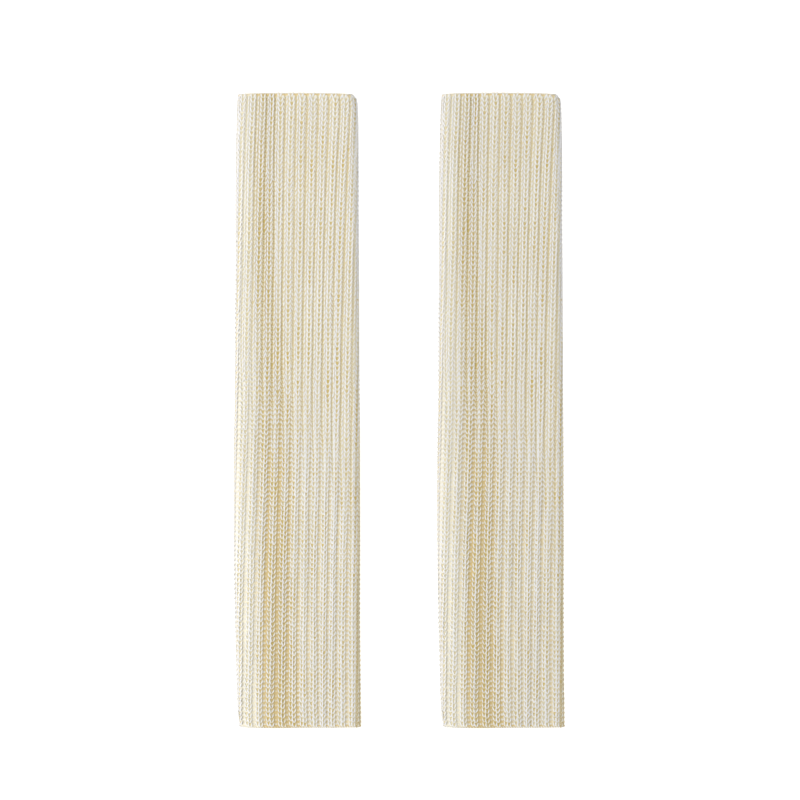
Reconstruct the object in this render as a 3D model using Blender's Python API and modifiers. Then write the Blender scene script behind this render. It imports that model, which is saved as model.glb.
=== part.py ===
"""A pair of rib-knitted leg warmers, laid flat side by side.

Each leg warmer is one open-ended knitted tube pressed flat: an upper layer that lies on an under
layer, joined along both sides by soft folds, and open at both ends.

Metres, +Z up. X runs across the pair, +Y runs along the tubes towards their upper ends, and the
undersides rest on Z = 0. The origin is on the resting plane, midway between the two tubes.
"""

import math
from typing import NamedTuple

import bmesh
import bpy

MM = 0.001

# Driving dimensions of one leg warmer.
LENGTH = 500 * MM
MIDDLE_TO_MIDDLE = 160 * MM
WALL = 2.2 * MM
FLAT_THICKNESS = 9.8 * MM  # outside to outside, where the upper layer is level
FOLD_HEIGHT = 4.3 * MM  # height at which a side fold reaches furthest out
UPPER_FOLD_REACH = 5.2 * MM  # how far in from the side the upper layer becomes level
LEVEL_RISE = 0.3 * MM  # the level stretch climbs this much towards the right fold

# The ends aren't quite straight: their corners stand back from their middles.
UPPER_END_BOW = 0.9 * MM
LOWER_END_BOW = 0.5 * MM
BOW_FADES_WITHIN = 70 * MM

# Facets of the skin.
LEVEL_FACETS = 20  # across the upper layer, from fold to fold
QUARTER_FOLD_FACETS = 3  # each side fold is an upper and a lower quarter
UNDER_FACETS = 7  # across the resting patch
LENGTH_FACETS = 20  # between the last corner section and the lower end


class Section(NamedTuple):
    """One cut across the tube. All values are in millimetres."""

    down: float  # distance from the upper end
    left: float  # left side, out from the middle line
    right: float  # right side, out from the middle line
    roll: float  # height of the soft roll along the left side, above the level stretch
    roll_in: float  # its crest, in from the left side
    trough: float  # depth of the long fold beside the roll, below the level stretch
    trough_in: float  # its bottom, in from the left side
    level_in: float  # where the level stretch starts, in from the left side
    under_left: float  # where the underside touches down, in from the left side
    under_right: float  # where the underside touches down, in from the right side


# The first four rows round the corner at the right of the upper end.
SECTIONS = (
    #       down   left  right  roll  roll_in trough trough_in level_in under_left under_right
    Section(0.0, 45.9, 41.4, 1.1, 12.5, 0.05, 31.5, 44.0, 5.0, 5.0),
    Section(1.5, 46.4, 44.0, 1.2, 12.5, 0.05, 31.5, 44.0, 5.0, 4.8),
    Section(4.0, 46.7, 46.2, 1.3, 12.5, 0.05, 31.5, 44.0, 5.0, 4.6),
    Section(10.0, 47.1, 47.3, 1.4, 12.5, 0.05, 31.5, 44.0, 5.0, 4.5),
    Section(60.0, 48.1, 47.9, 1.7, 12.0, 0.05, 31.0, 42.0, 5.6, 4.7),
    Section(130.0, 48.4, 48.2, 1.7, 12.5, 0.05, 32.0, 42.0, 6.2, 5.4),
    Section(180.0, 48.9, 48.4, 1.6, 13.5, 0.05, 35.0, 45.0, 5.2, 6.2),
    Section(240.0, 49.2, 48.9, 1.7, 15.0, 0.08, 43.0, 53.0, 4.8, 5.2),
    Section(290.0, 49.7, 49.0, 1.9, 16.0, 0.10, 46.0, 56.0, 5.4, 4.6),
    Section(350.0, 49.8, 49.0, 2.3, 17.0, 0.10, 47.0, 57.0, 6.4, 4.8),
    Section(410.0, 49.0, 49.1, 2.7, 18.0, 0.10, 48.0, 58.0, 5.6, 5.8),
    Section(460.0, 47.7, 49.5, 2.7, 18.0, 0.10, 48.5, 58.0, 4.8, 5.0),
    Section(490.0, 46.5, 49.8, 2.6, 18.0, 0.10, 48.5, 58.0, 4.6, 4.6),
    Section(500.0, 45.0, 49.8, 2.5, 17.5, 0.10, 48.5, 58.0, 4.6, 4.6),
)
CORNER_SECTIONS = 4

YARN_COLOUR = (0.72, 0.66, 0.52, 1.0)
YARN_ROUGHNESS = 0.9


def smooth_step(share):
    """Runs from 0 to 1 with a level start and a level end."""
    return share * share * (3 - 2 * share)


def section_at(down):
    """The cut at this distance in millimetres from the upper end, run smoothly between the rows."""
    row = max(i for i, section in enumerate(SECTIONS[:-1]) if section.down <= down)
    first, last = SECTIONS[row], SECTIONS[row + 1]
    before = SECTIONS[max(row - 1, 0)]
    after = SECTIONS[min(row + 2, len(SECTIONS) - 1)]
    span = last.down - first.down
    share = (down - first.down) / span

    def run(column):
        """A cubic through both rows, with each slope the mean slope of the rows on either side."""
        start, end = getattr(first, column), getattr(last, column)
        start_slope = (end - getattr(before, column)) / (last.down - before.down) * span
        end_slope = (getattr(after, column) - start) / (after.down - first.down) * span
        rest = 1 - share
        bend = share * rest * (rest * (start_slope - end + start) - share * (end_slope - end + start))
        return start + (end - start) * share + bend

    return Section(down, *(run(column) for column in Section._fields[1:]))


def relief(section, across, width):
    """Height in millimetres that the roll, the trough and the slow rise add to the upper layer."""
    rise = LEVEL_RISE / MM
    shoulder = width - UPPER_FOLD_REACH / MM
    if across < section.roll_in:
        short = 1 - across / section.roll_in
        return section.roll * (1 - short * short)
    if across < section.trough_in:
        share = (across - section.roll_in) / (section.trough_in - section.roll_in)
        return section.roll - (section.roll + section.trough) * smooth_step(share)
    if across < section.level_in:
        share = (across - section.trough_in) / (section.level_in - section.trough_in)
        return section.trough * (smooth_step(share) - 1)
    if across < shoulder:
        return rise * smooth_step((across - section.level_in) / (shoulder - section.level_in))
    return rise * (width - across) / (width - shoulder)


def quarter(reach, height, turn):
    """A point on a quarter of a side fold: how far in from the side, and how far up or down."""
    return reach * (1 - math.cos(turn)), height * math.sin(turn)


def outline(section):
    """The outside of one cut, clockwise seen from the lower end, as (x, z) in millimetres."""
    width = section.left + section.right
    fold = FOLD_HEIGHT / MM
    over = FLAT_THICKNESS / MM - fold
    reach = UPPER_FOLD_REACH / MM
    turns = [math.pi / 2 * i / QUARTER_FOLD_FACETS for i in range(QUARTER_FOLD_FACETS)]

    upper = []
    for turn in turns:  # left fold, up from the side
        inward, up = quarter(reach, over, turn)
        upper.append((inward, fold + up))
    for i in range(LEVEL_FACETS + 1):  # across the upper layer
        upper.append((reach + (width - 2 * reach) * i / LEVEL_FACETS, fold + over))
    for turn in reversed(turns):  # right fold, down to the side
        inward, up = quarter(reach, over, turn)
        upper.append((width - inward, fold + up))
    upper = [(across, z + relief(section, across, width)) for across, z in upper]

    under = []
    for turn in turns[1:]:  # right fold, down from the side
        inward, down = quarter(section.under_right, fold, turn)
        under.append((width - inward, fold - down))
    resting = width - section.under_left - section.under_right
    for i in range(UNDER_FACETS + 1):  # back under the tube
        under.append((width - section.under_right - resting * i / UNDER_FACETS, 0.0))
    for turn in reversed(turns[1:]):  # left fold, up to the side
        inward, down = quarter(section.under_left, fold, turn)
        under.append((inward, fold - down))
    return [(across - section.left, z) for across, z in upper + under]


def place_along(down, x, section):
    """The Y of a point of the cut, with the corners of both ends set back."""
    half = (section.left + section.right) / 2
    off_middle = (x - (section.right - section.left) / 2) / half
    to_upper = max(0.0, 1 - down * MM / BOW_FADES_WITHIN)
    to_lower = max(0.0, 1 - (LENGTH - down * MM) / BOW_FADES_WITHIN)
    set_back = LOWER_END_BOW * to_lower - UPPER_END_BOW * to_upper
    return LENGTH / 2 - down * MM + set_back * off_middle**2


def cuts():
    """Distances in millimetres from the upper end at which the skin is cut across."""
    rows = [section.down for section in SECTIONS[:CORNER_SECTIONS]]
    last = rows[-1]
    step = (LENGTH / MM - last) / LENGTH_FACETS
    return rows + [last + step * (i + 1) for i in range(LENGTH_FACETS - 1)] + [LENGTH / MM]


def tube_skin(name):
    """The outer skin of a flat tube, open at both ends, lofted from cut to cut."""
    mesh = bpy.data.meshes.new(name)
    skin = bmesh.new()
    rings = []
    for down in cuts():
        section = section_at(down)
        rings.append(
            [
                skin.verts.new((x * MM, place_along(down, x, section), z * MM))
                for x, z in outline(section)
            ]
        )
    for upper, lower in zip(rings, rings[1:]):
        for i, corner in enumerate(upper):
            following = (i + 1) % len(upper)
            skin.faces.new((corner, lower[i], lower[following], upper[following]))
    skin.to_mesh(mesh)
    skin.free()
    mesh.shade_smooth()
    return mesh


def knit_material(name):
    """Matt ivory yarn."""
    material = bpy.data.materials.new(name)
    material.use_nodes = True
    material.diffuse_color = YARN_COLOUR
    surface = material.node_tree.nodes["Principled BSDF"]
    surface.inputs["Base Color"].default_value = YARN_COLOUR
    surface.inputs["Roughness"].default_value = YARN_ROUGHNESS
    surface.inputs["Metallic"].default_value = 0.0
    return material


def leg_warmer(name, middle, collection):
    """One tube: the skin, placed by its middle line, with the wall added on its inside."""
    warmer = bpy.data.objects.new(name, tube_skin(name))
    warmer.location.x = middle
    warmer.data.materials.append(knit_material(name + "_yarn"))
    collection.objects.link(warmer)
    wall = warmer.modifiers.new("wall", "SOLIDIFY")
    wall.thickness = WALL
    wall.offset = -1.0
    wall.use_even_offset = True
    wall.use_rim = True
    return warmer


def main():
    for leftover in list(bpy.data.objects):
        bpy.data.objects.remove(leftover, do_unlink=True)
    pair = bpy.data.collections.new("leg_warmer_pair")
    bpy.context.scene.collection.children.link(pair)
    leg_warmer("leg_warmer_left", -MIDDLE_TO_MIDDLE / 2, pair)
    leg_warmer("leg_warmer_right", MIDDLE_TO_MIDDLE / 2, pair)


main()
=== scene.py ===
"""A pair of rib-knitted leg warmers, laid flat side by side, with every stitch modelled.

Each leg warmer is a flat tube of 2 by 2 rib. A thin shell carries the ribs and shows through the
stitches, and the legs of every knit stitch, the purl loops in the valleys and both edges lie on it.
The yarn and the shell are painted darker and more ochre the deeper they lie: painted shade between
the stitches.
Sizes are in millimetres, and become metres when a mesh is made. X runs across the pair, +Y along the
tubes towards their upper ends, and the undersides rest on Z = 0.
"""

import logging
import math
from dataclasses import dataclass, field, fields, replace
from enum import Enum
from typing import NamedTuple

import bmesh
import bpy
import numpy as np
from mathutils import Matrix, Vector


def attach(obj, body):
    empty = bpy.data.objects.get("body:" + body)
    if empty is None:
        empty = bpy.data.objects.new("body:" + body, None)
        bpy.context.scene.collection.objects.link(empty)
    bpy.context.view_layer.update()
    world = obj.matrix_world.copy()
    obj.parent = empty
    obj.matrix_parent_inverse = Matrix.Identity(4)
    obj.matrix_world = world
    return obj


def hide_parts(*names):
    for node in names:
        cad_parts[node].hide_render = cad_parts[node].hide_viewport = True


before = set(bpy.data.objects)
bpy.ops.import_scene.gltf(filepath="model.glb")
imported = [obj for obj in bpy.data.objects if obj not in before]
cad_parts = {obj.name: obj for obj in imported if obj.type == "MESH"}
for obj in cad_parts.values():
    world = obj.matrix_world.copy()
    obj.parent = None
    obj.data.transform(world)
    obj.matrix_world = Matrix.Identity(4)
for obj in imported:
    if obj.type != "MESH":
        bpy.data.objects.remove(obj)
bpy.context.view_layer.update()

MM = 0.001
YARN_MAP = "yarn"
SHADE_DEPTH_ATTRIBUTE = "inside"  # how deep inside the cloth a point looks, in millimetres, which sets its painted shade
FLANK_SHADE_ATTRIBUTE = "flank_shade"  # from 0 where the cloth is level to 1 where it faces left, where painted shade darkens it
FLANK_FROM, FLANK_RISE = 0.3, 0.6  # how far left it faces at 0, and how much further at 1
SOFTNESS = 0.75  # how much of the cloth's own direction the shading of its yarn takes on
UPWARD = 0.35  # how much that direction leans upwards, where the fibres catch the light from above
WHITE = (1.0, 1.0, 1.0, 1.0)
LOG = logging.getLogger("leg_warmers")

Array = np.ndarray
Colour = tuple[float, float, float]


class Side(Enum):
    """Which of the two leg warmers: its name in the frame, and its direction from the middle."""

    LEFT = -1
    RIGHT = 1

    @property
    def word(self) -> str:
        """The side in lower case, as piece names use it."""
        return self.name.lower()


class Zone(Enum):
    """The ribs that lie on top, the ones that run round the sides, and the ones below."""

    UPPER = "upper"
    SIDES = "sides"
    UNDER = "under"


class End(Enum):
    """The two ends of a tube, by what finishes them."""

    UPPER = "bind_off"
    LOWER = "cast_on"


class Section(NamedTuple):
    """One cut across the tube."""

    down: float  # distance from the upper end
    left: float  # left side, out from the middle line
    right: float  # right side, out from the middle line
    roll: float  # height of the soft roll along the left side, above the level stretch
    roll_in: float  # its crest, in from the left side
    trough: float  # depth of the long fold beside the roll, below the level stretch
    trough_in: float  # its bottom, in from the left side
    level_in: float  # where the level stretch starts, in from the left side
    under_left: float  # where the underside touches down, in from the left side
    under_right: float  # where the underside touches down, in from the right side


SECTIONS = (
    #       down   left  right  roll  roll_in trough trough_in level_in under_left under_right
    Section(0.0, 45.9, 41.4, 1.1, 12.5, 0.05, 31.5, 44.0, 5.0, 5.0),
    Section(1.5, 46.4, 44.0, 1.2, 12.5, 0.05, 31.5, 44.0, 5.0, 4.8),
    Section(4.0, 46.7, 46.2, 1.3, 12.5, 0.05, 31.5, 44.0, 5.0, 4.6),
    Section(10.0, 47.1, 47.3, 1.4, 12.5, 0.05, 31.5, 44.0, 5.0, 4.5),
    Section(60.0, 48.1, 47.9, 1.7, 12.0, 0.05, 31.0, 42.0, 5.6, 4.7),
    Section(130.0, 48.4, 48.2, 1.7, 12.5, 0.05, 32.0, 42.0, 6.2, 5.4),
    Section(180.0, 48.9, 48.4, 1.6, 13.5, 0.05, 35.0, 45.0, 5.2, 6.2),
    Section(240.0, 49.2, 48.9, 1.7, 15.0, 0.08, 43.0, 53.0, 4.8, 5.2),
    Section(290.0, 49.7, 49.0, 1.9, 16.0, 0.10, 46.0, 56.0, 5.4, 4.6),
    Section(350.0, 49.8, 49.0, 2.3, 17.0, 0.10, 47.0, 57.0, 6.4, 4.8),
    Section(410.0, 49.0, 49.1, 2.7, 18.0, 0.10, 48.0, 58.0, 5.6, 5.8),
    Section(460.0, 47.7, 49.5, 2.7, 18.0, 0.10, 48.5, 58.0, 4.8, 5.0),
    Section(490.0, 46.5, 49.8, 2.6, 18.0, 0.10, 48.5, 58.0, 4.6, 4.6),
    Section(500.0, 45.0, 49.8, 2.5, 17.5, 0.10, 48.5, 58.0, 4.6, 4.6),
)


class Valley(NamedTuple):
    """How far right of the middle line a valley between two ribs lies, at four heights."""

    upper_end: float
    upper_third: float
    lower_third: float
    lower_end: float


# The valleys that stay on top from end to end. They drift to the left on their way down.
VALLEY_HEIGHTS = (9.5, 167.0, 325.0, 483.0)
VALLEYS = (
    Valley(-24.0, -27.4, -31.3, -34.6),
    Valley(-17.8, -19.6, -23.4, -26.3),
    Valley(-9.9, -12.2, -14.4, -16.9),
    Valley(-1.3, -3.6, -6.3, -8.2),
    Valley(7.3, 4.3, 1.7, 0.2),
    Valley(16.0, 12.3, 9.5, 8.3),
    Valley(24.5, 19.8, 17.1, 16.2),
    Valley(33.2, 27.7, 25.4, 22.7),
    Valley(41.1, 35.2, 31.8, 30.1),
)


class Tone(NamedTuple):
    """Painted shade and painted light at one distance down the upper layer, given as how deep the yarn
    looks.

    Less light reaches between the stitches in the long hollow and beside the lower right side, and on
    the roll it reaches everywhere about as well.
    """

    down: float  # distance from the upper end
    hollow_in: float  # the hollow's middle, in from the left side
    hollow_half: float  # half its width
    edge_in: float  # width of the strip beside the right side
    roll: float  # how evenly the roll is painted, as painted light and shade, from 0 to 1
    hollow: float  # the share of painted shade that is added in the hollow
    edge: float  # the painted shade that is added at the right side, as a depth; below 0 it is painted light


# painted shade and painted light along the upper layer
SHADE_BANDS = (
    #    down  hollow_in hollow_half edge_in roll hollow edge
    Tone(0.0, 24.0, 11.0, 5.0, 0.4, 0.20, -0.3),
    Tone(60.0, 22.0, 12.0, 5.0, 0.6, 0.35, -0.3),
    Tone(150.0, 24.0, 13.0, 4.0, 0.6, 0.35, -0.1),
    Tone(240.0, 34.0, 21.0, 3.5, 0.6, 0.31, 0.5),
    Tone(300.0, 34.0, 21.0, 3.5, 0.6, 0.38, 0.8),
    Tone(380.0, 33.0, 21.0, 4.0, 0.6, 0.57, 1.1),
    Tone(500.0, 33.5, 22.0, 4.0, 0.6, 0.70, 1.3),
)


def smooth_step(share: Array) -> Array:
    """Runs from 0 to 1 with a level start and a level end, and stays there on either side."""
    share = np.clip(share, 0.0, 1.0)
    return share * share * (3 - 2 * share)


def mix(first: Array | float, last: Array | float, share: Array) -> Array:
    """The first value where the share is 0, the last where it is 1."""
    return first + (last - first) * share


def flank_share(out: Array) -> Array:
    """From 0 where the cloth is level to 1 where it faces left, by the directions out of it: the share of
    the left side fold's painted shade.
    """
    return smooth_step((-out[..., 0] - FLANK_FROM) / FLANK_RISE)


def mark(mesh: bpy.types.Mesh, depths: Array, flanks: Array) -> None:
    """Writes the two attributes that the materials read.

    Args:
        mesh: the mesh.
        depths: how deep each of its corners looks, which sets its painted shade.
        flanks: how far each of them faces left, which sets the painted shade of the left side fold.
    """
    for name, values in ((SHADE_DEPTH_ATTRIBUTE, depths), (FLANK_SHADE_ATTRIBUTE, flanks)):
        attribute = mesh.attributes.new(name, "FLOAT", "POINT")
        attribute.data.foreach_set("value", values.astype(np.float32))


def placed(corners: Array, middle: float) -> Array:
    """Moves corners to their own leg warmer's middle line, and turns millimetres into metres."""
    return (corners + np.array([middle, 0.0, 0.0])) * MM


def linked(name: str, data: bpy.types.ID) -> bpy.types.Object:
    """Makes the object of a mesh or a camera.

    Args:
        name: its name.
        data: the mesh or the camera.

    Returns:
        The object, at the origin, in the scene.
    """
    thing = bpy.data.objects.new(name, data)
    bpy.context.scene.collection.objects.link(thing)
    return thing


def plain_material(name: str, values: dict[str, object]) -> bpy.types.Material:
    """A material whose shader has these values all over the surface.

    Args:
        name: its name.
        values: the value for each socket of the shader.

    Returns:
        The material.
    """
    material = bpy.data.materials.new(name)
    material.use_nodes = True
    for socket, value in values.items():
        material.node_tree.nodes["Principled BSDF"].inputs[socket].default_value = value
    return material


def table(*columns: Array | float) -> Array:
    """Columns of one value or of many, made equally long and stacked."""
    return np.stack(np.broadcast_arrays(*columns))


def soft_noise(chance: np.random.Generator, tracks: int, downs: Array, wavelength: float) -> Array:
    """Slow random waves along some tracks.

    Args:
        chance: the seeded source of the random values.
        tracks: how many independent waves.
        downs: distances from the upper end, of any shape.
        wavelength: distance between two random values.

    Returns:
        Values from -1 to 1, one row for each track, in the shape of downs after that.
    """
    knots = chance.uniform(-1.0, 1.0, (tracks, int(downs.max() / wavelength) + 3))
    at = np.clip(downs / wavelength, 0, knots.shape[1] - 2)
    knot = at.astype(int)
    return mix(knots[:, knot], knots[:, knot + 1], smooth_step(at - knot))


@dataclass(frozen=True)
class Places:
    """Places on the outside of a tube, with the three directions at each."""

    points: Array
    across: Array  # round the tube, to the right on the upper layer
    along: Array  # towards the upper end
    out: Array  # away from the cloth


@dataclass
class FlatTube:
    """The outside of one tube pressed flat, around its own middle line.

    A place on it is a distance down from the upper end and a share of the way round, from 0 at the
    left side, over the upper layer to the right side, and back underneath to 1.
    """

    length: float = 500.0
    flat_thickness: float = 9.8  # outside to outside, where the upper layer is level
    fold_height: float = 4.3  # height at which a side fold reaches furthest out
    upper_fold_reach: float = 5.2  # how far in from the side the upper layer becomes level
    level_rise: float = 0.3  # the level stretch climbs this much towards the right fold
    upper_end_bow: float = 0.9  # the corners stand back from the middle of the upper end
    lower_end_bow: float = 0.5
    bow_fades_within: float = 70.0
    level_tone: float = 0.92  # how deep the level yarn looks for its painted shade, as a share of how deep it lies
    roll_tone: float = 0.75  # how deep all yarn looks where the roll's painted light and shade are even
    roll_reach: float = 1.5  # how far in from the left side it is even at all, in distances to the crest
    left_edge: float = 0.4  # painted shade: how much deeper the yarn looks at the left side
    left_edge_in: float = 4.5  # the width of that strip
    fold_steps: int = 24  # points on a quarter of a side fold
    upper_steps: int = 240
    under_steps: int = 120
    rows: int = 257
    columns: int = 720
    girths: Array = field(init=False)
    points: Array = field(init=False)
    across: Array = field(init=False)
    out: Array = field(init=False)

    def __post_init__(self) -> None:
        """Works out a fine grid over the whole outside."""
        rings = [self.ring(down) for down in np.linspace(0.0, self.length, self.rows)]
        self.girths = np.array([girth for girth, _ in rings])
        self.points = np.array([points for _, points in rings])
        before, after = np.roll(self.points, 1, axis=1), np.roll(self.points, -1, axis=1)
        self.across = after - before
        self.out = np.cross(np.gradient(self.points, axis=0), self.across)

    def section_at(self, down: float) -> Section:
        """The cut at this distance from the upper end.

        Args:
            down: distance from the upper end.

        Returns:
            The section, run through the rows of the table by cubics.
        """
        row = max(i for i, section in enumerate(SECTIONS[:-1]) if section.down <= down)
        first, last = SECTIONS[row], SECTIONS[row + 1]
        before = SECTIONS[max(row - 1, 0)]
        after = SECTIONS[min(row + 2, len(SECTIONS) - 1)]
        span = last.down - first.down
        share = (down - first.down) / span

        def run(column: str) -> float:
            """A cubic through both rows, with the mean slope of the rows on either side.

            Args:
                column: the column of the table.

            Returns:
                Its value at the cut.
            """
            start, end = getattr(first, column), getattr(last, column)
            start_slope = (end - getattr(before, column)) / (last.down - before.down) * span
            end_slope = (getattr(after, column) - start) / (after.down - first.down) * span
            rest = 1 - share
            bend = share * rest * (rest * (start_slope - end + start) - share * (end_slope - end + start))
            return start + (end - start) * share + bend

        return Section(down, *(run(column) for column in Section._fields[1:]))

    def relief(self, section: Section, across: Array) -> Array:
        """Height that the roll, the trough and the slow rise add to the upper layer.

        Args:
            section: the cut.
            across: distances in from the left side.

        Returns:
            The added heights.
        """
        width = section.left + section.right
        shoulder = width - self.upper_fold_reach
        up = section.roll * (1 - (1 - across / section.roll_in) ** 2)
        down_share = (across - section.roll_in) / (section.trough_in - section.roll_in)
        fall = section.roll - (section.roll + section.trough) * smooth_step(down_share)
        level_share = (across - section.trough_in) / (section.level_in - section.trough_in)
        climb = section.trough * (smooth_step(level_share) - 1)
        rise = self.level_rise * smooth_step((across - section.level_in) / (shoulder - section.level_in))
        edge = self.level_rise * (width - across) / (width - shoulder)
        bounds = (section.roll_in, section.trough_in, section.level_in, shoulder)
        return np.select([across < bound for bound in bounds], [up, fall, climb, rise], edge)

    def ring(self, down: float) -> tuple[float, Array]:
        """The outline of one cut, evenly stepped from the left side.

        Args:
            down: distance from the upper end.

        Returns:
            The length of the outline, and its points.
        """
        section = self.section_at(down)
        width = section.left + section.right
        over = self.flat_thickness - self.fold_height
        reach = self.upper_fold_reach
        turns = np.linspace(0.0, math.pi / 2, self.fold_steps)
        fold_in, fold_up = 1 - np.cos(turns), np.sin(turns)
        level = np.linspace(reach, width - reach, self.upper_steps)[1:-1]
        upper_in = np.concatenate([reach * fold_in, level, width - reach * fold_in[::-1]])
        upper_z = np.concatenate([over * fold_up, np.full(len(level), over), over * fold_up[::-1]])
        upper_z = upper_z + self.fold_height + self.relief(section, upper_in)
        resting = np.linspace(width - section.under_right, section.under_left, self.under_steps)[1:-1]
        under_in = np.concatenate(
            [width - section.under_right * fold_in[1:], resting, section.under_left * fold_in[::-1]]
        )
        under_z = self.fold_height * np.concatenate(
            [1 - fold_up[1:], np.zeros(len(resting)), 1 - fold_up[::-1]]
        )
        x = np.concatenate([upper_in, under_in]) - section.left
        z = np.concatenate([upper_z, under_z])
        run = np.concatenate([[0.0], np.cumsum(np.hypot(np.diff(x), np.diff(z)))])
        steps = np.linspace(0.0, run[-1], self.columns, endpoint=False)
        x, z = np.interp(steps, run, x), np.interp(steps, run, z)
        off_middle = (x - (section.right - section.left) / 2) / (width / 2)
        to_upper = max(0.0, 1 - down / self.bow_fades_within)
        to_lower = max(0.0, 1 - (self.length - down) / self.bow_fades_within)
        set_back = self.lower_end_bow * to_lower - self.upper_end_bow * to_upper
        y = self.length / 2 - down + set_back * off_middle**2
        return float(run[-1]), np.stack([x, y, z], axis=1)

    def girth_at(self, downs: Array) -> Array:
        """The way round the tube at these distances from the upper end."""
        return np.interp(downs, np.linspace(0.0, self.length, self.rows), self.girths)

    def shade(self, depths: Array, points: Array) -> Array:
        """How deep the yarn looks, for its painted shade and painted light, which on the upper layer
        isn't how deep it lies.

        Args:
            depths: how far inside the tube's outside it lies.
            points: the places on the outside.

        Returns:
            The depths that it looks to have.
        """
        down = self.length / 2 - points[..., 1]
        tone = Tone(down, *(self.between(SHADE_BANDS, column, down) for column in Tone._fields[1:]))
        left, right, roll_in = (
            self.between(SECTIONS, column, down) for column in ("left", "right", "roll_in")
        )
        from_left = left + points[..., 0]
        # painted light evens the roll and lightens the upper right; painted shade darkens the hollow and
        # the sides
        roll = tone.roll * smooth_step(self.roll_reach - from_left / roll_in)
        hollow = tone.hollow * smooth_step(1 - np.abs(from_left - tone.hollow_in) / tone.hollow_half)
        edge = tone.edge * smooth_step(1 - (right - points[..., 0]) / tone.edge_in)
        upper = points[..., 2] > self.fold_height / 2
        edge = edge + self.left_edge * smooth_step(1 - from_left / self.left_edge_in)
        depths = mix(depths, self.roll_tone, roll * upper) + edge * upper
        return depths * (self.level_tone + hollow * upper)

    @staticmethod
    def between(rows: tuple, column: str, down: Array) -> Array:
        """A column of a table, read between its rows."""
        return np.interp(down, [row.down for row in rows], [getattr(row, column) for row in rows])

    def share_of(self, down: float, x: float) -> float:
        """Where the upper layer passes a distance from the middle line.

        Args:
            down: distance from the upper end.
            x: distance to the right of the middle line.

        Returns:
            The share of the way round.
        """
        row = self.points[round(down / self.length * (self.rows - 1))]
        rightmost = int(row[:, 0].argmax())
        return float(np.interp(x, row[: rightmost + 1, 0], np.arange(rightmost + 1) / self.columns))

    def at(self, downs: Array, shares: Array) -> Places:
        """Places on the outside, by bilinear steps between the points of the grid.

        Args:
            downs: distances from the upper end.
            shares: shares of the way round, which may run past 0 and 1.

        Returns:
            The places, in the shape of the arguments.
        """
        last_row = self.rows - 1.001  # just before the last row of points, so that one follows it
        row = np.clip(downs / self.length * (self.rows - 1), 0.0, last_row)
        column = (shares % 1.0) * self.columns
        top, near = row.astype(int), column.astype(int) % self.columns
        far = (near + 1) % self.columns
        below, beyond = (row - top)[..., None], (column - np.floor(column))[..., None]

        def read(grid: Array) -> Array:
            """The grid's values at the places.

            Args:
                grid: a value or a direction for each point.

            Returns:
                What it holds at each place.
            """
            upper = mix(grid[top, near], grid[top, far], beyond)
            lower = mix(grid[top + 1, near], grid[top + 1, far], beyond)
            return mix(upper, lower, below)

        out = read(self.out)
        out = out / np.linalg.norm(out, axis=-1, keepdims=True)
        across = read(self.across)
        across = across - out * (across * out).sum(axis=-1, keepdims=True)
        across = across / np.linalg.norm(across, axis=-1, keepdims=True)
        return Places(read(self.points), across, np.cross(out, across), out)


@dataclass(frozen=True)
class Motif:
    """A small closed shape that is modelled once and copied: a stretch of yarn along +Y."""

    corners: Array
    triangles: Array
    map: Array  # round and along the yarn, for each corner of each triangle

    def copies(
        self, places: Places, depth: Array, slant: Array, thickness: Array, stretch: Array
    ) -> tuple[Array, Array, Array]:
        """Copies of the shape, joined into one set of corners.

        Args:
            places: where each copy lies, on the outside of the tube.
            depth: how far inside that its crest is.
            slant: how far its upper end leans across, in radians.
            thickness: its thickness, as a share of the shape's own.
            stretch: its length, as a share of the shape's own.

        Returns:
            The corners of all copies, how far each corner is inside the outside of the tube, and
            the way out of the cloth there.
        """
        x = self.corners[:, 0] * thickness[:, None]
        y = self.corners[:, 1] * stretch[:, None]
        cosine, sine = np.cos(slant)[:, None], np.sin(slant)[:, None]
        across, along = x * cosine + y * sine, y * cosine - x * sine
        below_crest = self.corners[:, 2] - self.corners[:, 2].max()
        up = below_crest * thickness[:, None] - depth[:, None]
        corners = places.points[:, None] + (
            across[..., None] * places.across[:, None]
            + along[..., None] * places.along[:, None]
            + up[..., None] * places.out[:, None]
        )
        out = np.broadcast_to(places.out[:, None], corners.shape)
        return corners.reshape(-1, 3), -up.reshape(-1), out.reshape(-1, 3)


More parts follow.
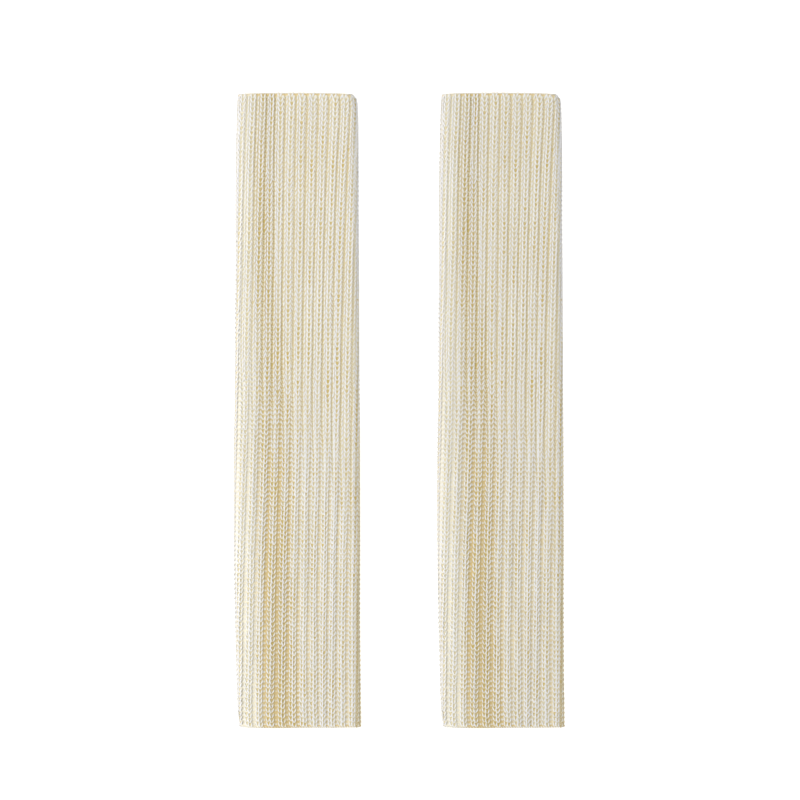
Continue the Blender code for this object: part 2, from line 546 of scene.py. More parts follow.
@dataclass
class YarnStretch:
    """Sizes of one stretch of yarn, and how it is modelled by hand."""

    length: float
    width: float
    height: float
    arch: float  # how much further out its middle lies than its ends
    bow: float = 0.0  # how far its middle is pushed to the right
    sides: int = 5
    rings: int = 4
    fullness: float = 1.18  # how much wider the rings beside the middle are than a ball's
    middle_half: float = 0.05  # the middle ring lies nearer than this share of the way to an end
    near_end: float = 0.95  # and the two tips lie further than this

    def model(self) -> Motif:
        """Models the stretch from a ball: drawn out, filled out beside its middle, and arched.

        Returns:
            The shape, in triangles, with the map that the ball came with.
        """
        bpy.ops.object.select_all(action="DESELECT")
        bpy.ops.mesh.primitive_uv_sphere_add(
            segments=self.sides, ring_count=self.rings, radius=1.0, rotation=(-math.pi / 2, 0.0, 0.0)
        )
        ball = bpy.context.object
        bpy.ops.object.transform_apply(location=False, rotation=True, scale=False)
        bpy.ops.object.mode_set(mode="EDIT")
        bpy.ops.mesh.select_mode(type="VERT")
        self.pick(ball, self.middle_half, self.near_end)
        bpy.ops.transform.resize(value=(self.fullness, 1.0, self.fullness))
        bpy.ops.mesh.select_all(action="SELECT")
        bpy.ops.transform.resize(value=(self.width / 2, self.length / 2, self.height / 2))
        self.pick(ball, -1.0, self.middle_half)
        bpy.ops.transform.translate(value=(self.bow, 0.0, self.arch))
        self.pick(ball, self.middle_half, self.near_end)
        bpy.ops.transform.translate(value=(self.bow / 2, 0.0, self.arch / 2))
        bpy.ops.mesh.select_all(action="SELECT")
        bpy.ops.mesh.quads_convert_to_tris(quad_method="BEAUTY", ngon_method="BEAUTY")
        bpy.ops.object.mode_set(mode="OBJECT")
        mesh = ball.data
        corners = np.empty(len(mesh.vertices) * 3)
        mesh.vertices.foreach_get("co", corners)
        triangles = np.empty(len(mesh.loops), np.int32)
        mesh.loops.foreach_get("vertex_index", triangles)
        places = np.empty(len(mesh.loops) * 2)
        mesh.uv_layers.active.uv.foreach_get("vector", places)
        bpy.data.objects.remove(ball, do_unlink=True)
        triangles, places = triangles.reshape(-1, 3), places.reshape(-1, 3, 2)
        order = np.lexsort(triangles.T)  # the operator's own order changes from run to run
        return Motif(corners.reshape(-1, 3), triangles[order], places[order])

    def pick(self, ball: bpy.types.Object, nearest: float, furthest: float) -> None:
        """Selects the corners that lie between two shares of the way from the middle to an end.

        Args:
            ball: the object, in edit mode.
            nearest: the lower share.
            furthest: the upper share.
        """
        cage = bmesh.from_edit_mesh(ball.data)
        reach = max(abs(corner.co.y) for corner in cage.verts)
        for corner in cage.verts:
            corner.select = nearest < abs(corner.co.y) / reach < furthest
        cage.select_flush_mode()
        bmesh.update_edit_mesh(ball.data)


@dataclass
class Strewn:
    """Everything that one joined mesh is made from."""

    corners: Array
    triangles: Array
    map: Array  # round and along the yarn, for each corner of each triangle
    depths: Array  # how deep each corner looks, which sets its painted shade
    out: Array  # the way out of the cloth at each corner

    def with_more(self, more: "Strewn") -> "Strewn":
        """Both joined into one.

        Args:
            more: the other.

        Returns:
            The two together.
        """
        more = replace(more, triangles=more.triangles + len(self.corners))
        names = [column.name for column in fields(Strewn)]
        return Strewn(*(np.concatenate([getattr(self, name), getattr(more, name)]) for name in names))

    def piece(self, name: str, middle: float) -> bpy.types.Object:
        """Makes the mesh and its object, moved to its own leg warmer.

        Args:
            name: the name of the piece.
            middle: the X of the leg warmer's middle line.

        Returns:
            The object, at the origin, with its place in its mesh.
        """
        mesh = bpy.data.meshes.new(name)
        mesh.vertices.add(len(self.corners))
        corners = placed(self.corners, middle)
        mesh.vertices.foreach_set("co", corners.astype(np.float32).ravel())
        mesh.loops.add(self.triangles.size)
        mesh.loops.foreach_set("vertex_index", self.triangles.astype(np.int32).ravel())
        mesh.polygons.add(len(self.triangles))
        starts = np.arange(0, self.triangles.size, 3, dtype=np.int32)
        mesh.polygons.foreach_set("loop_start", starts)
        mesh.uv_layers.new(name=YARN_MAP)
        mesh.uv_layers[YARN_MAP].uv.foreach_set("vector", self.map.astype(np.float32).ravel())
        mark(mesh, self.depths, flank_share(self.out))
        mesh.update(calc_edges=True)
        mesh.validate()
        mesh.shade_smooth()
        self.soften(mesh)
        return linked(name, mesh)

    def soften(self, mesh: bpy.types.Mesh) -> None:
        """Turns the shading of the yarn towards the cloth's, as its loose fibres do.

        Args:
            mesh: the mesh, with a corner for each of these.
        """
        normals = np.empty(len(mesh.vertices) * 3, np.float32)
        mesh.vertex_normals.foreach_get("vector", normals)
        turned = mix(normals.reshape(-1, 3), self.out + np.array([0.0, 0.0, UPWARD]), SOFTNESS)
        turned = turned / np.linalg.norm(turned, axis=1, keepdims=True)
        mesh.normals_split_custom_set_from_vertices(turned)


class RibState(NamedTuple):
    """How the two wales of a rib lie. Distances are from the rib's middle, to the right."""

    left_wale: float
    right_wale: float
    spread: float  # how far from a stitch's middle the upper ends of its two legs are
    stagger: float  # how far the left wale's stitches lie below the right wale's, in courses
    purl_shift: float  # the purl loops' distance from the valley
    purl_width: float
    plateau: float  # the higher, the flatter the rib's top
    yarn: float  # thickness of the yarn, as a share of its own
    left_tone: float  # painted shade: how much deeper the left wale looks than it lies
    inner_tone: float  # the same painted shade for the legs between the rib's two wales
    outer_spread: float  # how much further out the legs beside the valleys reach
    lean: float  # how much more the legs slant than their ends ask for, in radians


STRETCHED = RibState(
    left_wale=-3.6,
    right_wale=0.5,
    spread=1.4,
    stagger=0.5,
    purl_shift=-1.4,
    purl_width=2.4,
    plateau=1.1,
    yarn=1.15,
    left_tone=0.15,
    inner_tone=0.0,
    outer_spread=0.7,
    lean=0.0,
)
RELAXED = RibState(
    left_wale=-1.1,
    right_wale=1.15,
    spread=1.05,
    stagger=-0.25,
    purl_shift=0.1,
    purl_width=2.8,
    plateau=1.7,
    yarn=1.0,
    left_tone=0.0,
    inner_tone=0.2,
    outer_spread=0.25,
    lean=0.12,
)


class Wale(NamedTuple):
    """One column of stitches, with a value of each kind for each of its courses."""

    outer: int  # which of its legs stand beside a valley: -1 the left ones, 1 the right ones
    downs: Array  # each stitch's middle, down from the upper end
    rib: Array  # its rib's middle, as a share of the way round
    off: Array  # how far right of that it lies, as a distance
    girth: Array
    spread: Array
    yarn: Array
    # painted shade of its legs, and then of its inner legs, as added depths
    tone: Array
    inner_tone: Array
    outer_spread: Array
    lean: Array
    strength: Array  # from -1 to 1, how open its stitches are


class Jitter(NamedTuple):
    """How much single copies vary at random, as standard deviations."""

    down: float
    slant: float  # in radians
    tone: float  # how deep they look
    side: float = 0.0
    size: float = 0.0  # as a share of their own


@dataclass
class EdgeChain:
    """Sizes of the chain along one end: two strands, one over the other, that slant opposite ways."""

    lean: float  # how far its stitches turn from the way round, in radians
    inward: float = 1.45  # how far it lies from the end
    per_rib: int = 4
    overlap: float = 1.15  # a stitch's length, as a share of its part of the way round
    yarn: float = 1.0  # its thickness
    arch: float = 0.25
    fall: float = 0.3  # the share of the ribs' relief that it follows
    tone: float = 1.1  # painted shade: how much deeper it looks than it lies
    strands: tuple[tuple[float, int], ...] = ((0.0, 1), (0.5, -1))  # each one's depth, and its turn


@dataclass
class RibKnit:
    """Where every stitch of a 2 by 2 rib lies on the flat tube."""

    tube: FlatTube
    ribs: int = 25
    upper_ribs: int = 12
    first_upper_rib: int = -2  # counted from the first valley of the table
    courses: int = 132
    edge: float = 1.6  # the first course starts this far from the end
    crown: float = 0.04  # how steeply a rib's top falls away, in 1/mm
    deepest_wale: float = 0.9
    shell_depth: float = 1.2
    valley_depth: float = 0.6
    purl_depth: float = 0.6
    fold_from: float = 0.25  # how far sideways the cloth faces where a side fold starts
    fold_to: float = 0.75  # and where it is whole
    fold_stretch: float = 0.85  # how much of the relief is lost on the side folds
    fold_bulge: float = 0.8  # how far the stitches stand out there
    rib_width: float = 8.0  # the width that the states are for
    parallax: float = 0.5  # the ribs lie this much further right than they look from the camera
    relax_from: float = 195.0  # the ribs start to relax this far down
    relax_delay: float = 7.0  # and this much further down for each rib to the right
    relax_ribs: tuple[int, int] = (-3, 9)  # between these two
    relax_over: float = 90.0  # they are relaxed this much further down
    relax_margin: tuple[float, float] = (1.0, 9.0)  # not at all this near a side, wholly this far off
    waves: tuple[float, ...] = (26.0, 40.0, 60.0, 21.0)  # wavelengths: loose, sway, slip, open stitches
    loose: float = 0.25  # how much the legs' spread varies
    sway: float = 0.3  # how far a wale wanders to the sides
    slip: float = 0.5  # how far its courses wander up and down
    thinner: float = 0.08  # how much thinner the yarn is where its stitches are loose
    leg_jitter: Jitter = Jitter(down=0.16, slant=0.08, tone=0.12, side=0.09, size=0.03)
    back_jitter: Jitter = Jitter(down=0.12, slant=0.2, tone=0.2, size=0.06)
    purl_jitter: Jitter = Jitter(down=0.15, slant=0.08, tone=0.3)
    leg: YarnStretch = field(default_factory=lambda: YarnStretch(4.7, 1.15, 1.1, arch=1.15, bow=0.35))
    hidden_leg: YarnStretch = field(
        default_factory=lambda: YarnStretch(5.0, 1.2, 1.1, arch=1.1, bow=0.5, sides=4, rings=3)
    )
    back: YarnStretch = field(default_factory=lambda: YarnStretch(2.5, 1.9, 1.0, arch=0.0, rings=3))
    purl: YarnStretch = field(
        default_factory=lambda: YarnStretch(1.0, 2.2, 1.3, arch=0.3, sides=4, rings=3)
    )
    bind_off: EdgeChain = field(default_factory=lambda: EdgeChain(lean=0.3))
    cast_on: EdgeChain = field(default_factory=lambda: EdgeChain(lean=0.6))
    foot: float = 0.3  # how far from the stitch's middle a leg starts
    right_leg_tone: float = 0.3  # the share of the wale's painted shade that its right legs take
    back_up: float = 0.35  # how far towards the upper end the back shows
    back_depth: float = 0.75
    back_growth: float = 0.16  # how much larger the back of an open stitch is
    back_shrinking: float = 1.5  # how much smaller it is for each millimetre of the wale's painted shade
    back_tone: float = 0.45  # painted shade of the hole: how much deeper the back looks than it lies
    back_open_tone: float = 0.55  # and how much more painted shade behind an open stitch
    back_paling: float = 7.0  # how much less painted shade it has for each millimetre of the wale's painted shade
    rim: float = 1.35  # the shell ends this far from the ends
    end_sunk: float = 0.35  # the share of its depth that the shell has there
    end_tone: float = 1.1  # painted shade on the raised shell there: how much deeper it looks, as a share of how much it is raised
    end_reach: float = 2.6  # how far further in the shell reaches its whole depth
    shell_steps: int = 6  # the shell's facets across a rib
    shell_rows: int = 46
    shell_rows_from: float = 5.3  # where these even rows start, from either end
    shell_close: tuple[float, ...] = (0.0, 1.2, 2.4)  # its rows nearer to an end, in from the rim
    map_turn: float = 0.37  # how much further along the yarn's map each copy starts
    degree: int = 3  # each valley drifts along a cubic
    seed: int = 7
    drift: Array = field(init=False)  # its factors, a column for each valley round the tube

    def __post_init__(self) -> None:
        """Fits each valley's drift with a cubic through the four heights of the table."""
        shares = [
            [self.tube.share_of(down, valley[i] + self.parallax) for i, down in enumerate(VALLEY_HEIGHTS)]
            for valley in VALLEYS
        ]
        known = np.array(shares)
        hidden = self.ribs - len(known) + 1
        steps = np.arange(1, hidden)[:, None] / hidden
        under = mix(known[-1], known[0] + 1, steps)
        self.drift = np.polyfit(VALLEY_HEIGHTS, np.concatenate([known, under]).T, self.degree)

    def valley(self, number: Array, downs: Array) -> Array:
        """Where a valley lies round the tube.

        Args:
            number: numbers of valleys, which may run on past a whole turn.
            downs: distances from the upper end.

        Returns:
            The shares of the way round.
        """
        turn, which = np.divmod(*np.broadcast_arrays(number, self.ribs))
        powers = np.stack([downs**power for power in range(self.degree, -1, -1)])
        factors = self.drift[:, np.broadcast_to(which, downs.shape)]
        return (factors * powers).sum(axis=0) + turn

    def relaxed_share(self, rib: Array, downs: Array) -> Array:
        """How far each rib has changed from stretched to relaxed.

        Args:
            rib: numbers of ribs.
            downs: distances from the upper end.

        Returns:
            The shares. Ribs change later on the right than on the left, and stay stretched on the folds.
        """
        starts = self.relax_from + self.relax_delay * np.clip(rib, *self.relax_ribs)
        middle = (self.valley(rib, downs) + self.valley(rib + 1, downs)) / 2
        share_off = np.abs((middle + 0.25) % 0.5 - 0.25)  # the sides are at a share of 0 and of a half
        from_side = share_off * self.tube.girth_at(downs)
        near, far = self.relax_margin
        further = smooth_step((downs - starts) / self.relax_over)
        return further * smooth_step((from_side - near) / (far - near))

    def state(self, rib: Array, downs: Array) -> dict[str, Array]:
        """How the two wales of each rib lie.

        Args:
            rib: numbers of ribs.
            downs: distances from the upper end.

        Returns:
            For each name in RibState, its values there.
        """
        share = self.relaxed_share(rib, downs)
        return {
            name: mix(first, last, share)
            for name, first, last in zip(RibState._fields, STRETCHED, RELAXED)
        }

    def crown_depth(self, off_middle: Array) -> Array:
        """How far a rib's top has fallen away at this distance from its middle."""
        return self.deepest_wale * np.tanh(self.crown * off_middle**2 / self.deepest_wale)

    def shell_fall(self, phase: Array, plateau: Array) -> Array:
        """How far the shell has fallen at a phase of the rib, from -0.5 to 0.5, with 0 at its middle."""
        return self.valley_depth * (0.5 - 0.5 * np.cos(2 * math.pi * phase)) ** plateau

    def on_fold(self, places: Places) -> Array:
        """From 0 where the tube is level to 1 at its sides."""
        facing = np.abs(places.out[..., 0])
        return smooth_step((facing - self.fold_from) / (self.fold_to - self.fold_from))

    def rise_left(self, places: Places) -> Array:
        """The share of the ribs' relief that is left: less on the side folds, which stretch them."""
        return 1 - self.fold_stretch * self.on_fold(places)

    def rib_numbers(self, zone: Zone) -> Array:
        """The ribs of one zone.

        Args:
            zone: the zone.

        Returns:
            Their numbers, from left to right as seen from outside.
        """
        after = self.first_upper_rib + self.upper_ribs
        if zone is Zone.UPPER:
            return np.arange(self.first_upper_rib, after)
        if zone is Zone.SIDES:
            return np.array([self.first_upper_rib - 1, after])
        return np.arange(after + 1, self.first_upper_rib - 1 + self.ribs)

    def course_downs(self) -> Array:
        """The middle of each course, down from the upper end."""
        pitch = (self.tube.length - 2 * self.edge) / self.courses
        return self.edge + pitch * (np.arange(self.courses) + 0.5)

    def wales(self, zone: Zone) -> list[Wale]:
        """Every column of knit stitches of one zone, two to a rib.

        Args:
            zone: the ribs to take.

        Returns:
            The wales, from left to right, the left and the right one of each rib in turn.
        """
        numbers = self.rib_numbers(zone)
        chance = np.random.default_rng(self.seed + len(numbers))
        courses = self.course_downs()
        pitch = courses[1] - courses[0]
        girth = self.tube.girth_at(courses)
        loose, sway, slip, strength = (
            soft_noise(chance, len(numbers) * 2, courses, length) for length in self.waves
        )
        wales = []
        for row, rib in enumerate(numbers):
            start, end = self.valley(rib, courses), self.valley(rib + 1, courses)
            fit = (end - start) * girth / self.rib_width
            state = self.state(rib, courses)
            for wale, column in enumerate(("left_wale", "right_wale")):
                track = 2 * row + wale
                stagger = state["stagger"] * pitch * (0.5 - wale)
                wales.append(
                    Wale(
                        outer=2 * wale - 1,
                        downs=courses + stagger + self.slip * slip[track],
                        rib=(start + end) / 2,
                        off=state[column] * fit + self.sway * sway[track],
                        girth=girth,
                        spread=state["spread"] * fit + self.loose * loose[track],
                        yarn=state["yarn"] - self.thinner * loose[track],
                        tone=state["left_tone"] * (1 - wale),
                        inner_tone=state["inner_tone"],
                        outer_spread=state["outer_spread"],
                        lean=state["lean"],
                        strength=strength[track],
                    )
                )
        return wales

    def stitches(self, zone: Zone) -> Strewn:
        """The legs of all knit stitches of one zone.

        Args:
            zone: the ribs to make.

        Returns:
            The joined legs.
        """
        chance = np.random.default_rng(self.seed + 2)
        uneven = self.leg_jitter
        found = {-1: [], 1: []}
        for wale in self.wales(zone):
            for leg, rows in found.items():
                jitter = chance.normal(0.0, 1.0, (3, self.courses))
                spread = wale.spread + wale.outer_spread * (leg == wale.outer)
                slant = np.arctan((spread - self.foot) / self.leg.length) + wale.lean
                side = wale.off + leg * (self.foot + spread) / 2 + uneven.side * jitter[0]
                # painted shade as added depth: the weak wale's, less on its right legs, more on its inner
                # legs
                tone = wale.tone * (1.0 if leg < 0 else self.right_leg_tone)
                inner = wale.inner_tone * (1 + wale.strength) * (leg != wale.outer)
                rows.append(
                    table(
                        self.within(wale.downs + uneven.down * jitter[1]),
                        wale.rib + side / wale.girth,
                        0.0,
                        self.crown_depth(side),
                        leg * slant + uneven.slant * jitter[2],
                        wale.yarn + uneven.size * jitter[0],
                        1.0,
                        tone + inner + uneven.tone * jitter[1],
                    )
                )
        shape = self.hidden_leg if zone is Zone.UNDER else self.leg
        left, right = (
            self.strew(replace(shape, bow=leg * shape.bow).model(), np.concatenate(rows, axis=1))
            for leg, rows in found.items()
        )
        return left.with_more(right)

    def within(self, downs: Array) -> Array:
        """Keeps distances from the upper end between the first and the last course's outer edges."""
        return np.clip(downs, self.edge, self.tube.length - self.edge)

    def stitch_backs(self) -> Strewn:
        """The loop that shows behind each stitch, between its two legs, except below, in a deep ochre
        that is painted shade of the hole.

        Returns:
            The joined backs.
        """
        chance = np.random.default_rng(self.seed + 3)
        uneven = self.back_jitter
        found = []
        for wale in self.wales(Zone.UPPER) + self.wales(Zone.SIDES):
            jitter = chance.normal(0.0, 1.0, (3, self.courses))
            size = 1 + self.back_growth * wale.strength + uneven.size * jitter[0]
            size = size - self.back_shrinking * wale.tone
            # painted shade of the hole behind each stitch, as added depth
            tone = self.back_tone + self.back_open_tone * wale.strength + uneven.tone * jitter[0]
            found.append(
                table(
                    self.within(wale.downs - self.back_up + uneven.down * jitter[1]),
                    wale.rib + wale.off / wale.girth,
                    self.back_depth,
                    self.crown_depth(wale.off),
                    uneven.slant * jitter[2],
                    size,
                    size,
                    tone - self.back_paling * wale.tone,
                )
            )
        return self.strew(self.back.model(), np.concatenate(found, axis=1))

    def strew(self, motif: Motif, rows: Array) -> Strewn:
        """Joins copies of a motif.

        Args:
            motif: the shape.
            rows: down, share, its crest's depth, how much further the rib has fallen there, slant,
                thickness, stretch and how much deeper it looks for its painted shade, a column for each
                copy.

        Returns:
            The joined copies.
        """
        downs, shares, depth, fall, slant, thickness, stretch, tone = rows
        places = self.tube.at(downs, shares)
        bulge = self.fold_bulge * self.on_fold(places)
        depth = depth + fall * self.rise_left(places) - bulge
        corners, depths, out = motif.copies(places, depth, slant, thickness, stretch)
        count = len(downs)
        # painted shade: the colour's depth leaves out the fold's bulge and adds each copy's own, then the
        # bands
        depths = depths.reshape(count, -1) + (tone + bulge)[:, None]
        depths = self.tube.shade(depths, places.points[:, None]).reshape(-1)
        triangles = motif.triangles[None] + len(motif.corners) * np.arange(count)[:, None, None]
        turn = np.stack([np.zeros(count), self.map_turn * np.arange(count)], axis=1)
        places_on_map = motif.map[None] + turn[:, None, None, :]
        return Strewn(corners, triangles.reshape(-1, 3), places_on_map.reshape(-1, 2), depths, out)

    def sunk(self, downs: Array) -> Array:
        """The share of its depth that the shell keeps: less close to the two ends."""
        from_end = np.minimum(downs, self.tube.length - downs) - self.rim
        return mix(self.end_sunk, 1.0, smooth_step(from_end / self.end_reach))

    def purl_loops(self) -> Strewn:
        """The purl loops that show in the valleys, a row of them for each course.

        Returns:
            The joined loops.
        """
        chance = np.random.default_rng(self.seed + 1)
        uneven = self.purl_jitter
        courses = self.course_downs()
        girth = self.tube.girth_at(courses)
        sunk = self.sunk(courses - self.purl.width / 2)
        motif = self.purl.model()
        found = []
        for rib in self.first_upper_rib + np.arange(self.ribs):
            state = self.state(rib, courses)
            jitter = chance.normal(0.0, 1.0, (2, self.courses))
            found.append(
                table(
                    courses + uneven.down * jitter[0],
                    self.valley(rib, courses) + state["purl_shift"] / girth,
                    self.purl_depth * sunk,
                    self.valley_depth * sunk,
                    math.pi / 2 + uneven.slant * jitter[1],
                    1.0,
                    state["purl_width"] / self.purl.length,
                    uneven.tone * jitter[0],
                )
            )
        return self.strew(motif, np.concatenate(found, axis=1))

    def edge_chain(self, end: End) -> Strewn:
        """The cast-on or bind-off along one end.

        Args:
            end: which of the two.

        Returns:
            The joined stitches.
        """
        chain = self.bind_off if end is End.UPPER else self.cast_on
        down = chain.inward if end is End.UPPER else self.tube.length - chain.inward
        count = self.ribs * chain.per_rib
        length = self.tube.girths.mean() / count * chain.overlap
        motif = YarnStretch(length, chain.yarn, chain.yarn, arch=chain.arch).model()
        downs = np.full(count, down)
        share, phase, rib = self.across_ribs(np.arange(count), chain.per_rib, 0.5, downs)
        depth = self.shell_fall(phase, self.state(rib, downs)["plateau"])
        found = [
            table(
                downs,
                share,
                strand_depth,
                chain.fall * depth,
                math.pi / 2 + turn * chain.lean,
                1.0,
                1.0,
                chain.tone,
            )
            for strand_depth, turn in chain.strands
        ]
        return self.strew(motif, np.concatenate(found, axis=1))

    def across_ribs(
        self, numbers: Array, per_rib: int, start_at: float, downs: Array
    ) -> tuple[Array, Array, Array]:
        """Even steps across every rib in turn, which follow the ribs as they drift.

        Args:
            numbers: the steps, counted from the first valley.
            per_rib: how many steps cross a rib.
            start_at: where in its step each place lies, from 0 to 1.
            downs: distances from the upper end, in the same shape.

        Returns:
            The shares of the way round, the phases of the rib and the ribs' numbers.
        """
        rib, step = np.divmod(numbers, per_rib)
        phase = (step + start_at) / per_rib - 0.5
        left, right = (
            self.valley(number.ravel(), downs.ravel()).reshape(downs.shape) for number in (rib, rib + 1)
        )
        return (left + right) / 2 + phase * (right - left), phase, rib

    def shell(self) -> tuple[Array, Array, Array, Array]:
        """The skin under the stitches, before it gets its thickness.

        Returns:
            Its corners, its quads, how deep each corner looks and how far it faces left, which set its
            painted shade.
        """
        close = self.rim + np.array(self.shell_close)
        first, last = self.shell_rows_from, self.tube.length - self.shell_rows_from
        level = np.linspace(first, last, self.shell_rows)
        downs = np.concatenate([close, level, self.tube.length - close[::-1]])[:, None]
        ring = np.arange(self.ribs * self.shell_steps)
        downs, numbers = np.broadcast_arrays(downs, ring)
        share, phase, rib = self.across_ribs(numbers, self.shell_steps, 0.0, downs)
        places = self.tube.at(downs, share)
        fall = self.shell_fall(phase, self.state(rib, downs)["plateau"])
        depth = self.shell_depth + fall * self.rise_left(places)
        sunk = self.sunk(downs)
        bulge = self.fold_bulge * self.on_fold(places)
        corners = places.points - (depth * sunk - bulge)[..., None] * places.out
        # painted shade: the raised shell near the ends looks deeper, then the bands of painted shade and
        # light
        depth = self.tube.shade(depth + self.end_tone * (1 - sunk), places.points)
        following = (ring + 1) % len(ring)
        row = len(ring) * np.arange(len(downs) - 1)[:, None]
        below = row + len(ring)
        quads = np.stack([row + ring, below + ring, below + following, row + following], axis=-1)
        flank_shade = flank_share(places.out)
        return corners.reshape(-1, 3), quads.reshape(-1, 4), depth.reshape(-1), flank_shade.reshape(-1)


class NodeShop:
    """Short ways to place and join shader nodes in one tree."""

    def __init__(self, tree: bpy.types.NodeTree) -> None:
        """Works on this tree."""
        self.tree = tree

    def add(self, kind: str, **settings: object) -> bpy.types.Node:
        """Adds a node and sets its properties.

        Args:
            kind: the node's type.
            **settings: its properties.

        Returns:
            The node.
        """
        node = self.tree.nodes.new(kind)
        for name, value in settings.items():
            setattr(node, name, value)
        return node

    def feed(self, socket: bpy.types.NodeSocket, source: object) -> None:
        """Joins a socket to an output, or sets its value.

        Args:
            socket: the socket to feed.
            source: an output, or a value.
        """
        if isinstance(source, bpy.types.NodeSocket):
            self.tree.links.new(source, socket)
        else:
            socket.default_value = source

    def math(self, operation: str, *values: object) -> bpy.types.NodeSocket:
        """A Math node.

        Args:
            operation: what it does.
            *values: its inputs, each an output or a number.

        Returns:
            Its output.
        """
        node = self.add("ShaderNodeMath", operation=operation)
        for socket, value in zip(node.inputs, values):
            self.feed(socket, value)
        return node.outputs[0]

    def group(self, tree: bpy.types.NodeTree, sources: dict[str, object]) -> bpy.types.NodeSocket:
        """Places a shared group that has one output.

        Args:
            tree: the group.
            sources: an output or a value for each of its inputs.

        Returns:
            Its output.
        """
        node = self.add("ShaderNodeGroup", node_tree=tree)
        for name, source in sources.items():
            self.feed(node.inputs[name], source)
        return node.outputs[0]

    def ramp(self, value: object, first: float, last: float) -> bpy.types.NodeSocket:
        """A smooth step from 0 to 1 between two values.

        Args:
            value: what is looked at.
            first: the step is 0 up to here.
            last: the step is 1 from here.

        Returns:
            The step.
        """
        node = self.add("ShaderNodeMapRange", interpolation_type="SMOOTHSTEP")
        for name, part in (("Value", value), ("From Min", first), ("From Max", last)):
            self.feed(node.inputs[name], part)
        return node.outputs["Result"]

    def blend(
        self, share: object, first: object, last: object, blend_type: str = "MIX"
    ) -> bpy.types.NodeSocket:
        """A colour between two, or their product.

        Args:
            share: how much of the last colour, from 0 to 1.
            first: one colour.
            last: the other.
            blend_type: MIX, or MULTIPLY to let the last one darken the first.

        Returns:
            The colour.
        """
        node = self.add("ShaderNodeMix", data_type="RGBA", blend_type=blend_type)
        for number, value in ((0, share), (6, first), (7, last)):  # its factor and its two colours
            self.feed(node.inputs[number], value)
        return node.outputs[2]

    def noise(self, vector: object, scale: object, detail: float = 2.0) -> bpy.types.NodeSocket:
        """Noise from 0 to 1.

        Args:
            vector: where it is looked up.
            scale: how many waves there are to a metre.
            detail: how many finer octaves it has.

        Returns:
            The noise.
        """
        node = self.add("ShaderNodeTexNoise")
        self.feed(node.inputs["Vector"], vector)
        self.feed(node.inputs["Scale"], scale)
        self.feed(node.inputs["Detail"], detail)
        return node.outputs["Fac"]


@dataclass
class YarnGroups:
    """The node groups that the finishes share."""

    patch_edges: tuple[float, float] = (0.35, 0.65)  # the noise where a patch of tone starts and is whole
    fibre_detail: float = 4.0
    drift: bpy.types.NodeTree = field(init=False)
    ply: bpy.types.NodeTree = field(init=False)
    fuzz: bpy.types.NodeTree = field(init=False)

    def __post_init__(self) -> None:
        """Builds each group once."""
        self.drift = self.tone_drift()
        self.ply = self.yarn_ply()
        self.fuzz = self.fibre_fuzz()

    @staticmethod
    def start(name: str, inputs: dict[str, str], outputs: dict[str, str]) -> tuple:
        """An empty group with named sockets.

        Args:
            name: the group's name.
            inputs: the kind of socket for each input's name.
            outputs: the same for the outputs.

        Returns:
            The group, its NodeShop, its input node and its output node.
        """
        group = bpy.data.node_groups.new(name, "ShaderNodeTree")
        for socket, kind in inputs.items():
            group.interface.new_socket(name=socket, in_out="INPUT", socket_type=kind)
        for socket, kind in outputs.items():
            group.interface.new_socket(name=socket, in_out="OUTPUT", socket_type=kind)
        shop = NodeShop(group)
        return group, shop, shop.add("NodeGroupInput"), shop.add("NodeGroupOutput")

    def tone_drift(self) -> bpy.types.NodeTree:
        """Slow changes of tone over the cloth, from one colour to another.

        Returns:
            The group. Place is in metres, and Size is how wide a patch is.
        """
        inputs = {
            "Place": "NodeSocketVector",
            "Size": "NodeSocketFloat",
            "Colour": "NodeSocketColor",
            "Other": "NodeSocketColor",
            "Amount": "NodeSocketFloat",
        }
        group, shop, start, end = self.start("tone_drift", inputs, {"Colour": "NodeSocketColor"})
        scale = shop.math("DIVIDE", 1.0, start.outputs["Size"])
        patches = shop.ramp(shop.noise(start.outputs["Place"], scale), *self.patch_edges)
        share = shop.math("MULTIPLY", patches, start.outputs["Amount"])
        shop.feed(
            end.inputs["Colour"], shop.blend(share, start.outputs["Colour"], start.outputs["Other"])
        )
        return group

    def yarn_ply(self) -> bpy.types.NodeTree:
        """The plies of twisted yarn, on a map that runs round it and along it.

        Returns:
            The group. Height is 1 on a ply and 0 between two.
        """
        inputs = {"Map": "NodeSocketVector", "Plies": "NodeSocketFloat", "Turns": "NodeSocketFloat"}
        group, shop, start, end = self.start("yarn_ply", inputs, {"Height": "NodeSocketFloat"})
        split = shop.add("ShaderNodeSeparateXYZ")
        shop.feed(split.inputs[0], start.outputs["Map"])
        around = shop.math("MULTIPLY", split.outputs["X"], start.outputs["Plies"])
        along = shop.math("MULTIPLY", split.outputs["Y"], start.outputs["Turns"])
        turned = shop.math("MULTIPLY", shop.math("ADD", around, along), math.pi)
        shop.feed(end.inputs["Height"], shop.math("ABSOLUTE", shop.math("SINE", turned)))
        return group

    def fibre_fuzz(self) -> bpy.types.NodeTree:
        """The loose fibres of soft yarn.

        Returns:
            The group. Place is in metres, and Size is about a fibre's length.
        """
        inputs = {"Place": "NodeSocketVector", "Size": "NodeSocketFloat"}
        group, shop, start, end = self.start("fibre_fuzz", inputs, {"Height": "NodeSocketFloat"})
        scale = shop.math("DIVIDE", 1.0, start.outputs["Size"])
        shop.feed(end.inputs["Height"], shop.noise(start.outputs["Place"], scale, self.fibre_detail))
        return group


